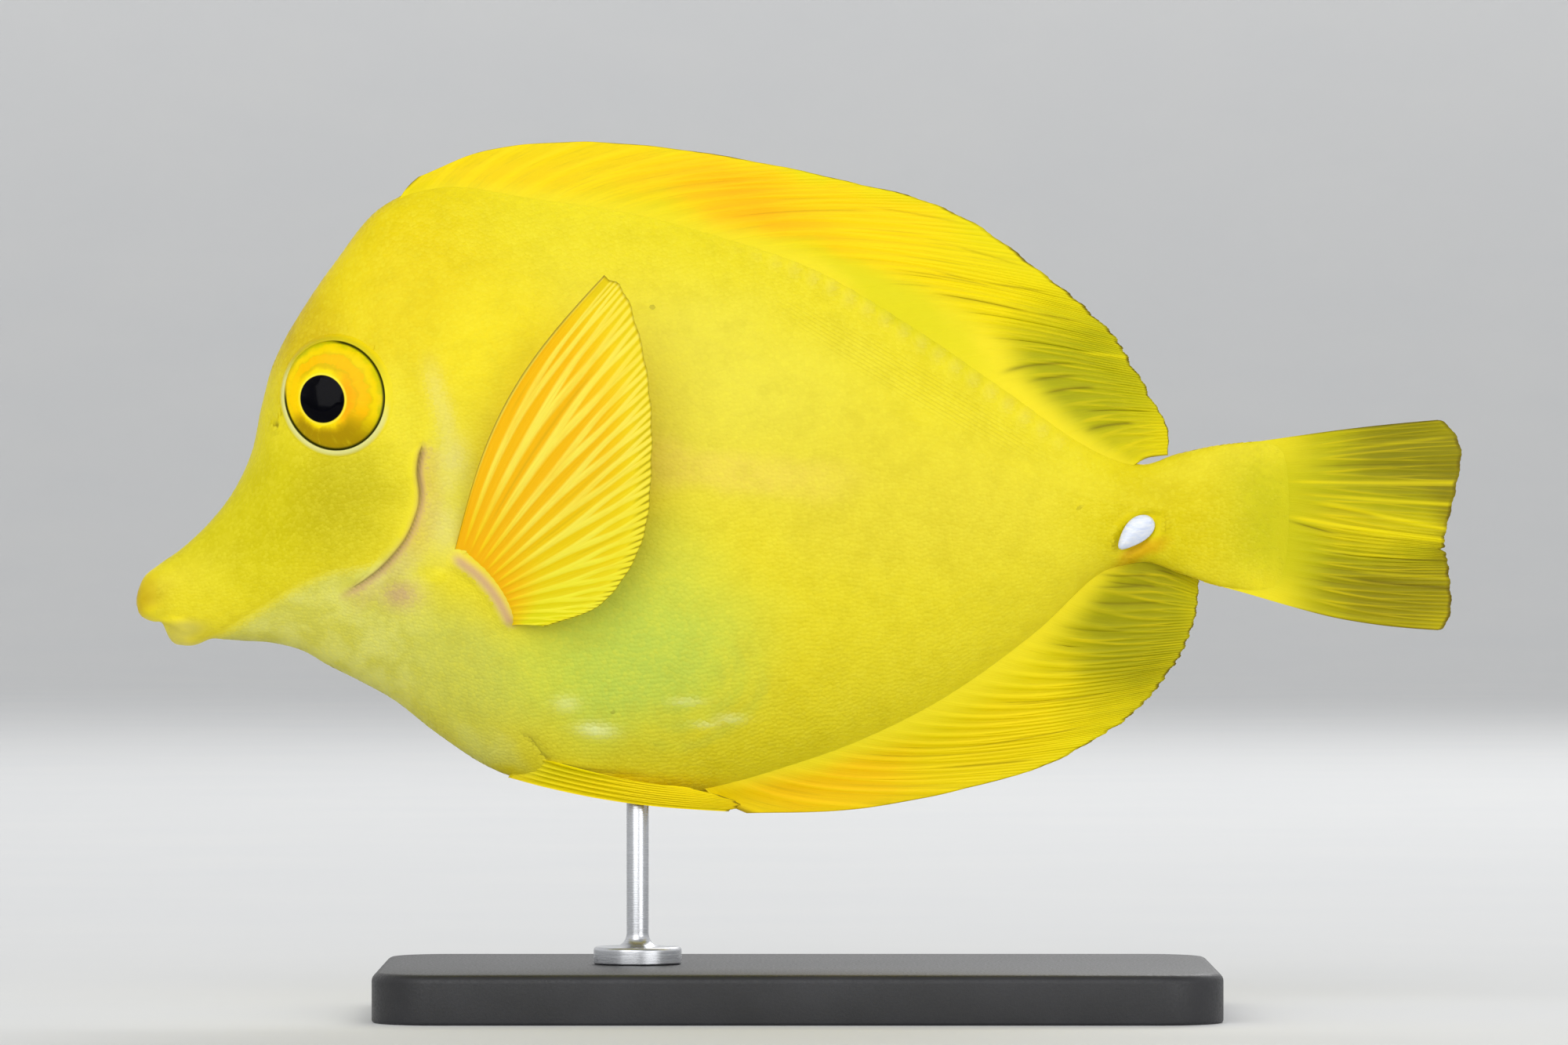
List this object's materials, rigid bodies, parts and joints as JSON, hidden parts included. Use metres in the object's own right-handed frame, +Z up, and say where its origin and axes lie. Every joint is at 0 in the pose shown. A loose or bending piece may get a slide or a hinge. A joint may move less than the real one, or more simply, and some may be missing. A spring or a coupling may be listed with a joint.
{
  "type": "yellow tang fish model on a display stand",
  "caption": "Life-size model of a tall, flat yellow reef fish with spread fins and a pointed snout, held on a rod above a flat base plate.",
  "frame": {"origin": "middle of the underside of the stand's base plate", "axes": "+Z up; the fish swims towards -X, its left side faces -Y"},
  "size_m": [0.12, 0.044, 0.0792],
  "materials": {
    "skin": "bright yellow, finely grained, satin with a wet sheen",
    "fin": "yellow, ribbed by its rays, satin",
    "eye": "glossy, orange and yellow iris round a black pupil",
    "tail_spine": "white horn, smooth",
    "stand_paint": "black, fine matt coat",
    "stand_steel": "turned and brushed"
  },
  "bodies": {
    "root": {"head": "skin", "lower_jaw": "skin", "gill_cover_left": "skin", "gill_cover_right": "skin", "torso": "skin", "tail_root": "skin", "dorsal_fin": "fin", "anal_fin": "fin", "tail_fin": "fin", "pectoral_fin_left": "fin", "pectoral_fin_right": "fin", "pelvic_fin_left": "fin", "pelvic_fin_right": "fin", "eye_left": "eye", "eye_right": "eye", "tail_spine_left": "tail_spine", "tail_spine_right": "tail_spine", "stand_base": "stand_paint", "stand_rod": "stand_steel"}
  },
  "joints": []
}
